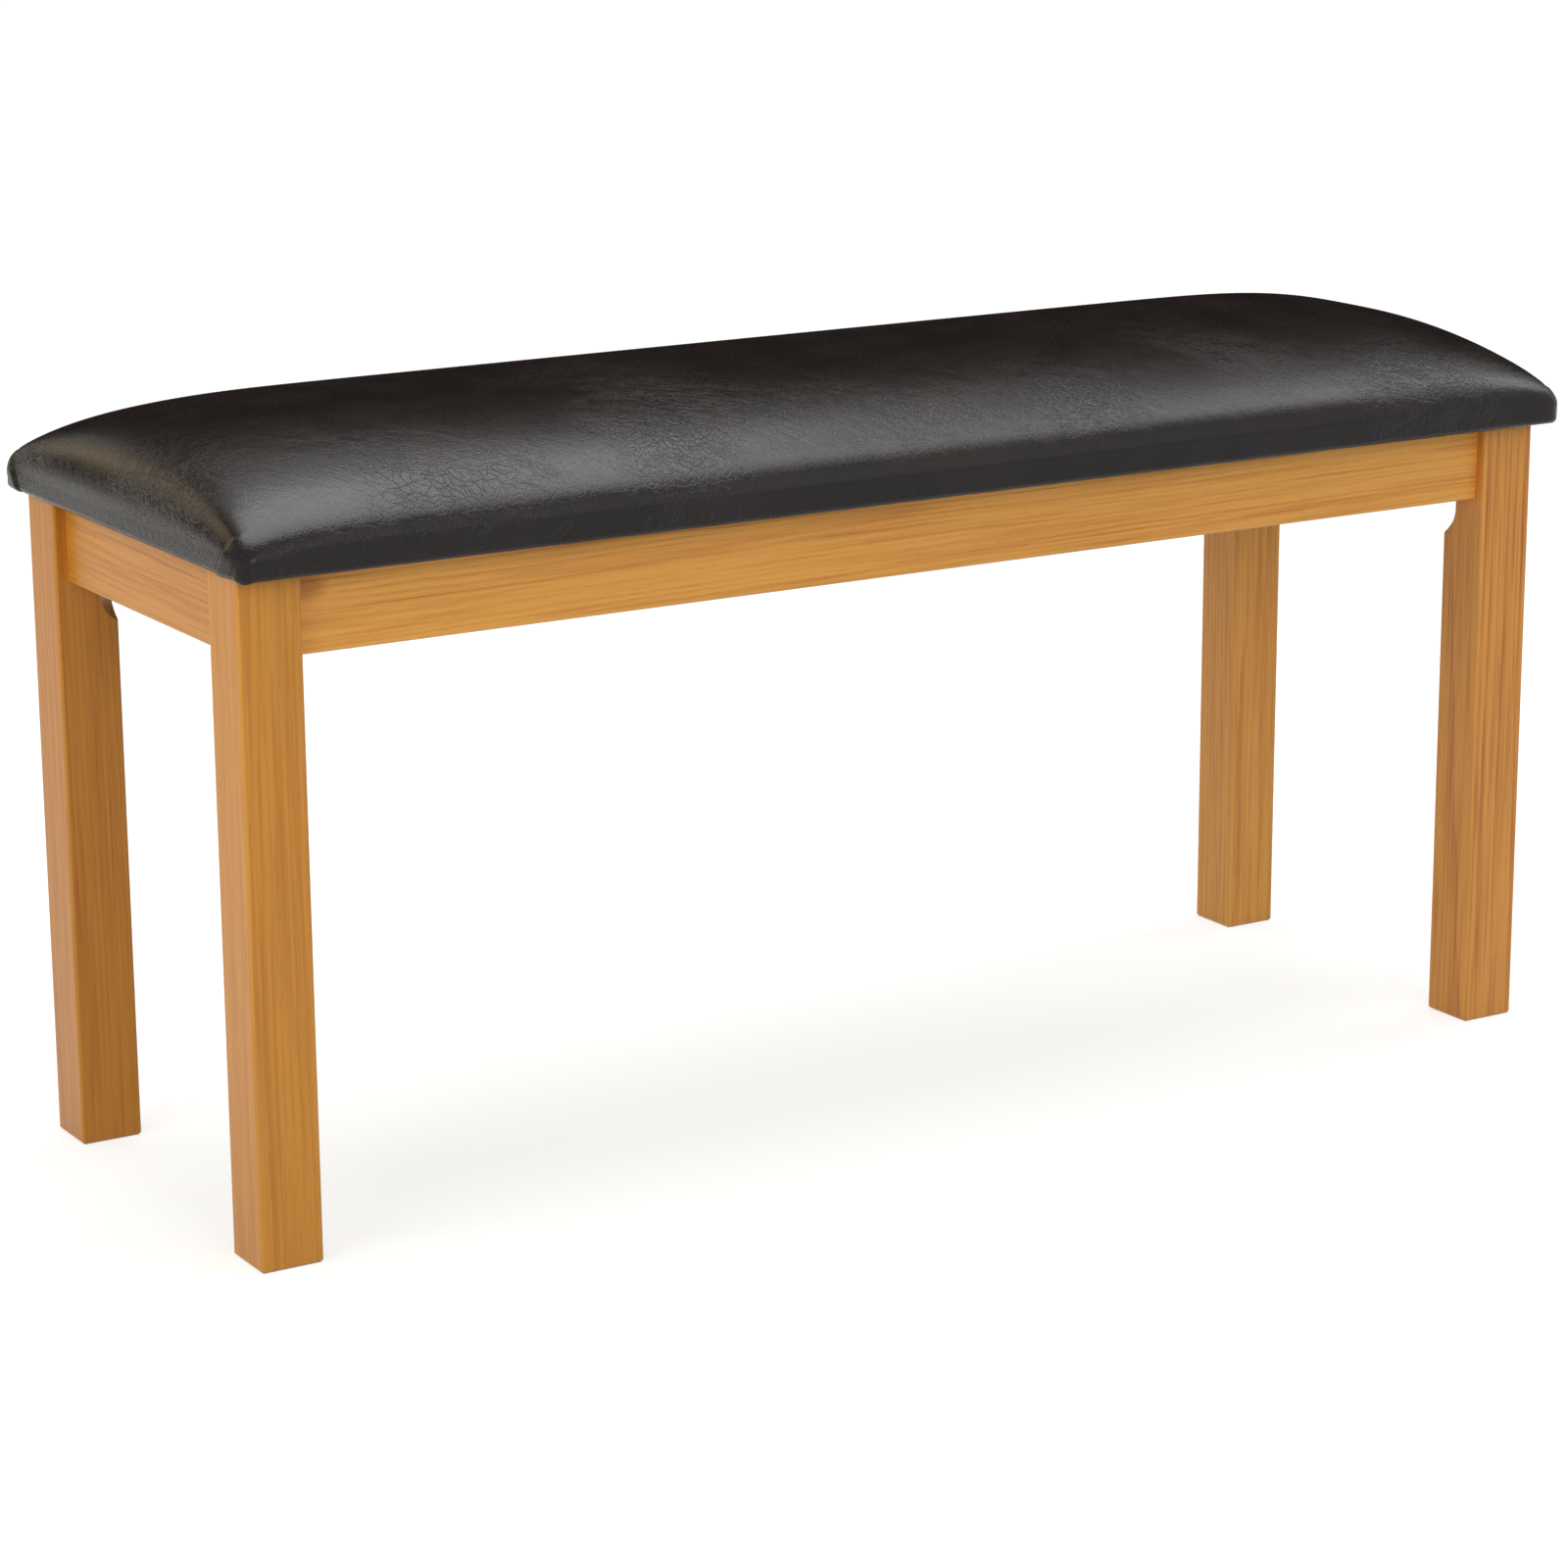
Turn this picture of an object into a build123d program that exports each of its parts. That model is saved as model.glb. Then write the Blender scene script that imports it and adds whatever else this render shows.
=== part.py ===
"""Upholstered dining bench of the knock-down kind.

Four square legs stand at the corners of a frame of four aprons. Each apron end meets its leg with a
wooden dowel, and a corner block screwed to both aprons is bolted to the leg, whose inner edge is cut
to a flat facet for it. A rail joins the two long aprons in the middle. The seat is a plywood board
with a crowned foam pad under a leatherette cover, held down by screws from below.

Millimetres, +X along the bench, -Y to the front, +Z up. The origin is on the floor under the centre.
"""

import os
from math import sqrt

from build123d import *

# Legs
leg_size = 39.0
leg_height = 403.0
leg_edge_radius = 2.0
foot_bevel = 1.5
facet_leg = 12.0  # how far the inner facet cuts into each of the two inner faces
facet_below_apron = 9.0  # full depth of the facet goes on this far below the aprons
facet_cutter_radius = 25.0  # the cutter leaves its own curve where the facet ends

# Frame
frame_length = 916.0  # over the legs
frame_depth = 300.0
apron_height = 50.0
apron_thickness = 18.0
apron_inner_step = 13.0  # from the inner faces of the legs back to the inner faces of the aprons
apron_edge_radius = 1.5

# Dowels between aprons and legs
dowel_radius = 4.0
dowel_length = 30.0
dowel_in_leg = 12.0

# Corner blocks
block_gap = 3.0  # left open between block and facet, so that the bolts can pull the joint tight
block_thickness = 22.0
block_height = 44.0

# Bolts, washers and threaded inserts
bolt_radius = 4.0
bolt_head_radius = 7.0
bolt_head_height = 4.4
bolt_head_edge = 1.6
bolt_socket_across_flats = 5.0
bolt_socket_depth = 2.6
bolt_hole_clearance = 0.5
flat_washer_radius = 8.5
flat_washer_thickness = 1.6
lock_washer_radius = 7.0
lock_washer_thickness = 2.0
lock_washer_split = 1.2
insert_radius = 5.5
insert_length = 10.0

# Wood screws
screw_radius = 2.0
screw_head_radius = 4.0
screw_head_height = 2.4
screw_tip_length = 4.0
block_screw_length = 20.0
block_screw_cover = 8.0  # block left between the top of the screw's head and the apron
block_screw_rise = 12.0  # above the bolt and the dowels
seat_screw_length = 36.0
seat_screw_offset = 12.0  # beside the bolt, towards the long apron
seat_screw_bite = 9.0  # in the seat board
rail_screw_inset = 36.0  # from the inner faces of the long aprons

# Middle rail
rail_thickness = 20.0
rail_height = 40.0
rail_housing_depth = 6.0
rail_fit = 0.2

# Seat board and cover
seat_overhang_end = 6.0
seat_overhang_side = 21.0
board_thickness = 12.0
board_edge_bevel = 2.0
cover_thickness = 1.0
cover_edge_radius = 3.0
seat_corner_radius = 10.0
cover_turn_in = 5.0  # how far it reaches under the board, past the inner faces of the aprons

# Crown of the pad
crown_height = 54.0
crown_end_reach = 144.0
crown_side_reach = 152.0
crown_end_exponent = 3.15
crown_side_exponent = 2.0
crown_wall_share = 0.13  # height of the upright wall at each end, as a share of the crown
crown_trim = 0.8  # the pad is lofted this much larger all round and trimmed to the outline
crown_station_shares = (0.0, 0.012, 0.04, 0.1, 0.2, 0.36, 0.62, 1.0)  # of the end reach
crown_knot_shares = (0.0, 0.045, 0.17, 0.34, 0.52)  # of the side reach

# Dust cover
liner_thickness = 0.3
liner_gap = 1.0  # to legs and aprons

overrun = 5.0  # by which every cutter passes the face that it cuts

# Worked out from the sizes above
half_length = frame_length / 2
half_depth = frame_depth / 2
apron_bottom = leg_height - apron_height
apron_middle = leg_height - apron_height / 2
apron_inside = leg_size - apron_inner_step  # inner face, from the outer face of the leg
apron_setback = apron_inside - apron_thickness  # outer face, from the outer face of the leg
board_bottom = leg_height + cover_thickness
board_top = board_bottom + board_thickness
seat_half_length = half_length + seat_overhang_end
seat_half_depth = half_depth + seat_overhang_side
facet_sum = 2 * leg_size - facet_leg  # x + y on the facet, from the leg's outer corner
facet_distance = facet_sum / sqrt(2)
block_near = facet_distance + block_gap
block_far = block_near + block_thickness
block_middle = (block_near + block_far) / 2
block_screw_offset = block_middle * sqrt(2) - apron_inside  # along the apron, from the leg's outer face
corners = {
    "front_left": (-1, -1),
    "front_right": (1, -1),
    "rear_left": (-1, 1),
    "rear_right": (1, 1),
}
corner_diagonal = Vector(1, 1, 0).normalized()  # from the outer corner towards the middle
corner_across = Vector(1, -1, 0).normalized()
standing = (Align.CENTER, Align.CENTER, Align.MIN)  # with its lower end on the XY plane


def box_between(low, high):
    """A box from its lowest to its highest corner."""
    size = [b - a for a, b in zip(low, high)]
    return Pos(*low) * Box(*size, align=(Align.MIN, Align.MIN, Align.MIN))


def rod(start, direction, radius, length):
    """A round bar that starts at a point and runs along a direction."""
    return Plane(origin=start, z_dir=direction) * Cylinder(radius, length, align=standing)


def to_corner(shape, side_x, side_y):
    """Puts a shape at one of the four corners. It is modelled with the leg's outer corner at the origin."""
    if side_x > 0:
        shape = mirror(shape, Plane.YZ.offset(half_length))
    if side_y > 0:
        shape = mirror(shape, Plane.XZ.offset(-half_depth))
    return Pos(-half_length, -half_depth, 0) * shape


def at_corners(shapes):
    """Copies of one corner's shapes at all four corners."""
    return [to_corner(shape, *sides) for sides in corners.values() for shape in shapes]


def corner_dowels():
    """The two dowels of one corner, each part in the leg and part in its apron."""
    start, across = leg_size - dowel_in_leg, apron_setback + apron_thickness / 2
    along_x = rod((start, across, apron_middle), (1, 0, 0), dowel_radius, dowel_length)
    along_y = rod((across, start, apron_middle), (0, 1, 0), dowel_radius, dowel_length)
    return [along_x, along_y]


def on_bolt_axis(shape, distance):
    """Puts a shape on the corner bolt's axis, at a distance from the leg's outer corner."""
    start = corner_diagonal * distance
    return Plane(origin=(start.X, start.Y, apron_middle), z_dir=corner_diagonal) * shape


def block_screw_places():
    """Seat and direction of each screw that holds the corner block to its aprons."""
    seat = apron_inside + block_screw_cover
    height = apron_middle + block_screw_rise
    towards_x = ((seat, block_screw_offset, height), (-1, 0, 0))
    towards_y = ((block_screw_offset, seat, height), (0, -1, 0))
    return [towards_x, towards_y]


def seat_screw_place():
    """Seat of the screw that rises through a corner block into the seat board."""
    point = corner_diagonal * block_middle + corner_across * seat_screw_offset
    return (point.X, point.Y, board_bottom + seat_screw_bite - seat_screw_length)


def rail_screw_places():
    """Seats of the two screws that rise through the middle rail."""
    height = board_bottom + seat_screw_bite - seat_screw_length
    offset = half_depth - apron_inside - rail_screw_inset
    return [(0, side * offset, height) for side in (-1, 1)]


def wood_screw(seat, direction, length):
    """A countersunk screw. The top of its head lies at the seat, and it points along the direction."""
    profile = Polyline(
        (0, 0),
        (screw_head_radius, 0),
        (screw_radius, screw_head_height),
        (screw_radius, length - screw_tip_length),
        (0, length),
        close=True,
    )
    screw = revolve(Plane.XZ * make_face(profile), Axis.Z)
    return Plane(origin=seat, z_dir=direction) * screw


def screw_way(seat, direction, reach):
    """What a screw needs in the piece that it holds: a way in for its head, a countersink and a hole."""
    profile = Polyline(
        (0, -reach),
        (screw_head_radius, -reach),
        (screw_head_radius, 0),
        (screw_radius, screw_head_height),
        (screw_radius, reach),
        (0, reach),
        close=True,
    )
    return Plane(origin=seat, z_dir=direction) * revolve(Plane.XZ * make_face(profile), Axis.Z)


def furniture_bolt():
    """Bolt with a bevelled button head, from outside the washers to the end of the insert."""
    under_head = block_far + flat_washer_thickness + lock_washer_thickness
    profile = Polyline(
        (0, facet_distance - insert_length),
        (bolt_radius, facet_distance - insert_length),
        (bolt_radius, under_head),
        (bolt_head_radius, under_head),
        (bolt_head_radius, under_head + bolt_head_height - bolt_head_edge),
        (bolt_head_radius - bolt_head_edge, under_head + bolt_head_height),
        (0, under_head + bolt_head_height),
        close=True,
    )
    bolt = revolve(Plane.XZ * make_face(profile), Axis.Z)
    hexagon = RegularPolygon(bolt_socket_across_flats / 2, 6, major_radius=False)
    socket = extrude(hexagon, bolt_socket_depth)
    bolt -= Pos(0, 0, under_head + bolt_head_height - bolt_socket_depth) * socket
    return on_bolt_axis(bolt, 0)


def ring(outer_radius, inner_radius, length):
    """A flat ring or tube that stands on the XY plane."""
    return Cylinder(outer_radius, length, align=standing) - Cylinder(inner_radius, length, align=standing)


def flat_washer():
    return on_bolt_axis(ring(flat_washer_radius, bolt_radius, flat_washer_thickness), block_far)


def lock_washer():
    """A split ring between the flat washer and the bolt's head."""
    washer = ring(lock_washer_radius, bolt_radius, lock_washer_thickness)
    washer -= box_between(
        (bolt_radius / 2, -lock_washer_split / 2, 0),
        (lock_washer_radius + overrun, lock_washer_split / 2, lock_washer_thickness),
    )
    return on_bolt_axis(washer, block_far + flat_washer_thickness)


def threaded_insert():
    """Steel insert in the leg, flush with its facet."""
    return on_bolt_axis(ring(insert_radius, bolt_radius, insert_length), facet_distance - insert_length)


def facet_cutter():
    """Takes the leg's inner edge off to a flat facet that runs out in the cutter's own curve."""
    depth = leg_size * sqrt(2) - facet_distance
    run_out_centre = apron_bottom - facet_below_apron
    width = 2 * leg_size
    axle = corner_diagonal * (facet_distance + facet_cutter_radius)
    wheel = Plane(origin=(axle.X, axle.Y, run_out_centre), z_dir=corner_across) * Cylinder(
        facet_cutter_radius, width
    )
    middle = corner_diagonal * (facet_distance + depth)
    slab_height = leg_height - run_out_centre + overrun
    slab = Plane(
        origin=(middle.X, middle.Y, run_out_centre + slab_height / 2), x_dir=corner_diagonal
    ) * Box(2 * depth, width, slab_height)
    return slab + wheel


def leg():
    """Square leg with eased edges, the inner facet, and its holes for the dowels and the insert."""
    post = box_between((0, 0, 0), (leg_size, leg_size, leg_height))
    post = fillet(post.edges().filter_by(Axis.Z), leg_edge_radius)
    post = chamfer(post.edges().group_by(Axis.Z)[0], foot_bevel)
    post -= facet_cutter()
    for dowel in corner_dowels():
        post -= dowel
    insert_hole = Cylinder(insert_radius, insert_length, align=standing)
    return post - on_bolt_axis(insert_hole, facet_distance - insert_length)


def corner_block():
    """Wedge-ended block that sits across the corner, bored for the bolt and the screws."""
    near, far = block_near * sqrt(2), block_far * sqrt(2)
    outline = Polyline(
        (near - apron_inside, apron_inside),
        (far - apron_inside, apron_inside),
        (apron_inside, far - apron_inside),
        (apron_inside, near - apron_inside),
        close=True,
    )
    block = Pos(0, 0, apron_middle - block_height / 2) * extrude(make_face(outline), block_height)
    bolt_hole = Cylinder(bolt_radius + bolt_hole_clearance, block_thickness, align=standing)
    block -= on_bolt_axis(bolt_hole, block_near)
    for seat, direction in block_screw_places():
        block -= screw_way(seat, direction, block_far)
    return block - screw_way(seat_screw_place(), (0, 0, 1), apron_height)


def apron(length, rail_slot):
    """One apron along X with its outer face at y = 0, its ends bored for the dowels."""
    board = box_between((-length / 2, 0, apron_bottom), (length / 2, apron_thickness, leg_height))
    board = fillet(board.edges().filter_by(Axis.X).group_by(Axis.Z)[0], apron_edge_radius)
    hole_depth = dowel_length - dowel_in_leg
    for side in (-1, 1):
        mouth = (side * length / 2, apron_thickness / 2, apron_middle)
        board -= rod(mouth, (-side, 0, 0), dowel_radius, hole_depth)
        x = side * (length / 2 + leg_size - block_screw_offset)
        seat = (x, apron_thickness + block_screw_cover, apron_middle + block_screw_rise)
        board -= wood_screw(seat, (0, -1, 0), block_screw_length)
    if rail_slot:
        half_slot = (rail_thickness + rail_fit) / 2
        board -= box_between(
            (-half_slot, apron_thickness - rail_housing_depth, leg_height - rail_height),
            (half_slot, apron_thickness + overrun, leg_height + overrun),
        )
    return board


def middle_rail():
    """Rail that drops into a housing in each long apron, bored for two seat screws."""
    half_span = half_depth - apron_inside + rail_housing_depth - rail_fit / 2
    rail = box_between(
        (-rail_thickness / 2, -half_span, leg_height - rail_height),
        (rail_thickness / 2, half_span, leg_height - liner_thickness),
    )
    for seat in rail_screw_places():
        rail -= screw_way(seat, (0, 0, 1), rail_height)
    return rail


def seat_outline(growth=0.0):
    """Rounded rectangle of the seat board, grown all round."""
    return RectangleRounded(
        2 * (seat_half_length + growth), 2 * (seat_half_depth + growth), seat_corner_radius + growth
    )


def crown_share(distance, reach, exponent):
    """Height of the crown as a share of its full height, at a distance in from its edge."""
    inward = min(distance / reach, 1.0)
    return (1 - (1 - inward) ** exponent) ** (1 / exponent)


def crown_section(station, half_width, height):
    """Cross-section of the pad at a station along X: a flat base and an arch of five arcs."""
    knots = []
    for share in crown_knot_shares:
        distance = share * crown_side_reach
        rise = height * crown_share(distance, crown_side_reach, crown_side_exponent)
        knots.append((half_width - distance, rise))
    start, low_mid, low_end, high_mid, high_end = knots

    def left(point):
        return (-point[0], point[1])

    arch = [
        ThreePointArc(start, low_mid, low_end),
        ThreePointArc(low_end, high_mid, high_end),
        ThreePointArc(high_end, (0, height), left(high_end)),
        ThreePointArc(left(high_end), left(high_mid), left(low_end)),
        ThreePointArc(left(low_end), left(low_mid), left(start)),
        Line(left(start), start),
    ]
    return Plane(origin=(station, 0, board_top), x_dir=(0, 1, 0), z_dir=(1, 0, 0)) * make_face(arch)


def crown(growth=0.0):
    """The crowned pad above the board, lofted from end to end and trimmed to the rounded outline."""
    end = seat_half_length + growth + crown_trim
    half_width = seat_half_depth + growth + crown_trim
    full_height = crown_height - cover_thickness + growth
    stations = []
    for share in crown_station_shares:
        distance = share * crown_end_reach
        rise = crown_wall_share + (1 - crown_wall_share) * crown_share(
            distance, crown_end_reach, crown_end_exponent
        )
        stations.append((end - distance, full_height * rise))
    sections = [crown_section(-x, half_width, h) for x, h in stations]
    sections += [crown_section(x, half_width, h) for x, h in reversed(stations)]
    pad = loft(sections)
    prism = Pos(0, 0, board_top - overrun) * extrude(seat_outline(growth), crown_height + 2 * overrun)
    return pad & prism


def band(bottom, growth):
    """The upright part of the seat, from its underside to the top of the board."""
    return Pos(0, 0, bottom) * extrude(seat_outline(growth), board_top - bottom)


def board_blank():
    """The seat board before it is bored, with its lower edge bevelled."""
    blank = band(board_bottom, 0.0)
    return chamfer(blank.edges().group_by(Axis.Z)[0], board_edge_bevel)


def seat_screws():
    """Four screws through the corner blocks and two through the middle rail."""
    corner_screw = wood_screw(seat_screw_place(), (0, 0, 1), seat_screw_length)
    screws = [to_corner(corner_screw, *sides) for sides in corners.values()]
    return screws + [wood_screw(seat, (0, 0, 1), seat_screw_length) for seat in rail_screw_places()]


def seat_board():
    """Plywood board, bored by the seat screws."""
    board = board_blank()
    for screw in seat_screws():
        board -= screw
    return board


def seat_cover():
    """Leatherette: a skin over pad and board edge, turned in under the board."""
    sides = band(leg_height, cover_thickness)
    sides = fillet(sides.edges().group_by(Axis.Z)[0], cover_edge_radius)
    skin = sides + crown(cover_thickness) - board_blank() - foam
    inner_x = half_length - apron_inside - cover_turn_in
    inner_y = half_depth - apron_inside - cover_turn_in
    open_low = (-inner_x, -inner_y, leg_height - overrun)
    open_high = (inner_x, inner_y, board_bottom + overrun)
    return skin - box_between(open_low, open_high)


def dust_cover():
    """Thin sheet under the seat, inside the aprons and notched round the legs."""
    half_x = half_length - apron_inside - liner_gap
    half_y = half_depth - apron_inside - liner_gap
    sheet = box_between((-half_x, -half_y, leg_height - liner_thickness), (half_x, half_y, leg_height))
    notch_side = leg_size + liner_gap
    notch = box_between((0, 0, leg_height - overrun), (notch_side, notch_side, leg_height + overrun))
    for sides in corners.values():
        sheet -= to_corner(notch, *sides)
    for screw in seat_screws():
        sheet -= screw
    return sheet


parts = {}
corner_leg = leg()
block = corner_block()
for corner, sides in corners.items():
    parts[f"leg_{corner}"] = to_corner(corner_leg, *sides)
    parts[f"corner_block_{corner}"] = to_corner(block, *sides)

long_apron = Pos(0, -half_depth + apron_setback, 0) * apron(frame_length - 2 * leg_size, True)
short_apron = Rot(0, 0, -90) * apron(frame_depth - 2 * leg_size, False)
short_apron = Pos(-half_length + apron_setback, 0, 0) * short_apron
parts["apron_front"] = long_apron
parts["apron_rear"] = mirror(long_apron, Plane.XZ)
parts["apron_left"] = short_apron
parts["apron_right"] = mirror(short_apron, Plane.YZ)
parts["middle_rail"] = middle_rail()
parts["apron_dowels"] = Compound(at_corners(corner_dowels()))

parts["leg_bolts"] = Compound(at_corners([furniture_bolt()]))
parts["leg_inserts"] = Compound(at_corners([threaded_insert()]))
parts["flat_washers"] = Compound(at_corners([flat_washer()]))
parts["lock_washers"] = Compound(at_corners([lock_washer()]))
corner_screws = [wood_screw(seat, way, block_screw_length) for seat, way in block_screw_places()]
parts["block_screws"] = Compound(at_corners(corner_screws))

foam = crown()
parts["seat_foam"] = foam
parts["seat_board"] = seat_board()
parts["seat_cover"] = seat_cover()
parts["dust_cover"] = dust_cover()
parts["seat_screws"] = Compound(seat_screws())

os.makedirs("parts", exist_ok=True)
for name, shape in parts.items():
    export_step(shape, f"parts/{name}.step")
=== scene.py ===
import math

import bmesh
import bpy
from mathutils import Euler, Matrix, Vector


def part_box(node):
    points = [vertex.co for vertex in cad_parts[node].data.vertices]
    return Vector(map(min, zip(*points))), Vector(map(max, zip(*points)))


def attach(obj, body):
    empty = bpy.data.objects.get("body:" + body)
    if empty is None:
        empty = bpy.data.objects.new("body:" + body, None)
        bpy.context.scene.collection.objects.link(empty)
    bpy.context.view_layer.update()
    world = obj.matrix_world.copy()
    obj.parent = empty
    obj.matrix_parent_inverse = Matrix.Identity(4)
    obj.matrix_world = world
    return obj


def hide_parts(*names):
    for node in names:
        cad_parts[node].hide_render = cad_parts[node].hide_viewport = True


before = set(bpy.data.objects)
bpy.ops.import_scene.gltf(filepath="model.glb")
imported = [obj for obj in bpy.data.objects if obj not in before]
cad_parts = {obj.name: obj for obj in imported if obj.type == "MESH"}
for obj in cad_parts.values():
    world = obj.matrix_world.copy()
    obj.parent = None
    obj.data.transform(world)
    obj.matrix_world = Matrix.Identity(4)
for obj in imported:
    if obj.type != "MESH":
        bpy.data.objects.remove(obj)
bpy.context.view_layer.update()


# Legs

# Four square oak legs, planed, eased along their edges and sprayed with a honey-coloured satin
# lacquer. Their feet are plain sawn ends, and each inner edge has a stopped chamfer at the top.


def srgb(red, green, blue):
    """A colour read off a screen, 0 to 255, as the shader's own linear colour."""

    def straight(value):
        share = value / 255
        return share / 12.92 if share <= 0.04045 else ((share + 0.055) / 1.055) ** 2.4

    return (straight(red), straight(green), straight(blue), 1.0)


class Channel:
    """A shader socket that can be added, taken away, multiplied, divided and raised."""

    def __init__(self, finish, socket):
        self.finish, self.socket = finish, socket

    def __add__(self, other):
        return self.finish.maths("ADD", self, other)

    def __sub__(self, other):
        return self.finish.maths("SUBTRACT", self, other)

    def __rsub__(self, other):
        return self.finish.maths("SUBTRACT", other, self)

    def __mul__(self, other):
        return self.finish.maths("MULTIPLY", self, other)

    def __truediv__(self, other):
        return self.finish.maths("DIVIDE", self, other)

    def __pow__(self, other):
        return self.finish.maths("POWER", self, other)

    __radd__, __rmul__ = __add__, __mul__

    def beside(self, name):
        """Another output of the same node."""
        return Channel(self.finish, self.socket.node.outputs[name])


class Finish:
    """A material, or the world, built node by node."""

    def __init__(self, name, blocks=bpy.data.materials):
        self.block = blocks.new(name)
        self.block.use_nodes = True
        self.block.node_tree.nodes.clear()

    def node(self, kind, settings, sockets, output=0):
        """Adds a node, sets it, and then gives each socket its link or its value."""
        tree = self.block.node_tree
        made = tree.nodes.new(kind)
        for key, value in settings.items():
            setattr(made, key, value)
        for key, value in sockets.items():
            if isinstance(value, Channel):
                tree.links.new(value.socket, made.inputs[key])
            else:
                made.inputs[key].default_value = value
        return Channel(self, made.outputs[output]) if len(made.outputs) else made

    def maths(self, operation, *values):
        return self.node("ShaderNodeMath", {"operation": operation}, dict(enumerate(values)))

    def between(self, value, low, high):
        """0 below low, 1 above high, and a smooth step between them."""
        settings = {"interpolation_type": "SMOOTHSTEP"}
        sockets = {"Value": value, "From Min": low, "From Max": high}
        return self.node("ShaderNodeMapRange", settings, sockets)

    def mix(self, share, first, second):
        # A Mix node takes its two colours in sockets 6 and 7, and gives one as output 2.
        sockets = {"Factor": share, 6: first, 7: second}
        return self.node("ShaderNodeMix", {"data_type": "RGBA"}, sockets, 2)

    def place(self, location=(0, 0, 0), rotation=(0, 0, 0)):
        """Object coordinates, moved so that location is their middle and then turned."""
        turn = Euler(rotation).to_matrix()
        point = self.node("ShaderNodeTexCoord", {}, {}, "Object")
        sockets = {"Vector": point, "Location": -(turn @ Vector(location)), "Rotation": rotation}
        return self.node("ShaderNodeMapping", {"vector_type": "POINT"}, sockets)

    def parts(self, vector):
        split = self.node("ShaderNodeSeparateXYZ", {}, {"Vector": vector})
        return split, split.beside("Y"), split.beside("Z")

    def joined(self, x, y, z):
        return self.node("ShaderNodeCombineXYZ", {}, {"X": x, "Y": y, "Z": z})

    def noise(self, vector, scale, detail=2.0, roughness=0.5, output=0):
        sockets = {"Vector": vector, "Scale": scale, "Detail": detail, "Roughness": roughness}
        return self.node("ShaderNodeTexNoise", {"noise_dimensions": "3D"}, sockets, output)

    def relief(self, height, strength, distance):
        sockets = {"Strength": strength, "Distance": distance, "Height": height}
        return self.node("ShaderNodeBump", {}, sockets)

    def closed(self, shader, kind="ShaderNodeOutputMaterial"):
        """Leads the last shader to the output, and gives the finished material or world."""
        self.node(kind, {}, {"Surface": shader})
        return self.block

    def surface(self, **looks):
        """The usual last shader. Underscores in a socket's name stand for its spaces."""
        sockets = {key.replace("_", " "): value for key, value in looks.items()}
        return self.closed(self.node("ShaderNodeBsdfPrincipled", {}, sockets))


def dress(node, material):
    """Gives a piece of the frame its finish."""
    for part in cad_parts[node].material_slots:
        part.material = material


grain_up = (0.0, 0.0, 0.0)
grain_across = (0.0, -math.pi / 2, 0.0)
grain_back = (math.pi / 2, 0.0, 0.0)


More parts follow.
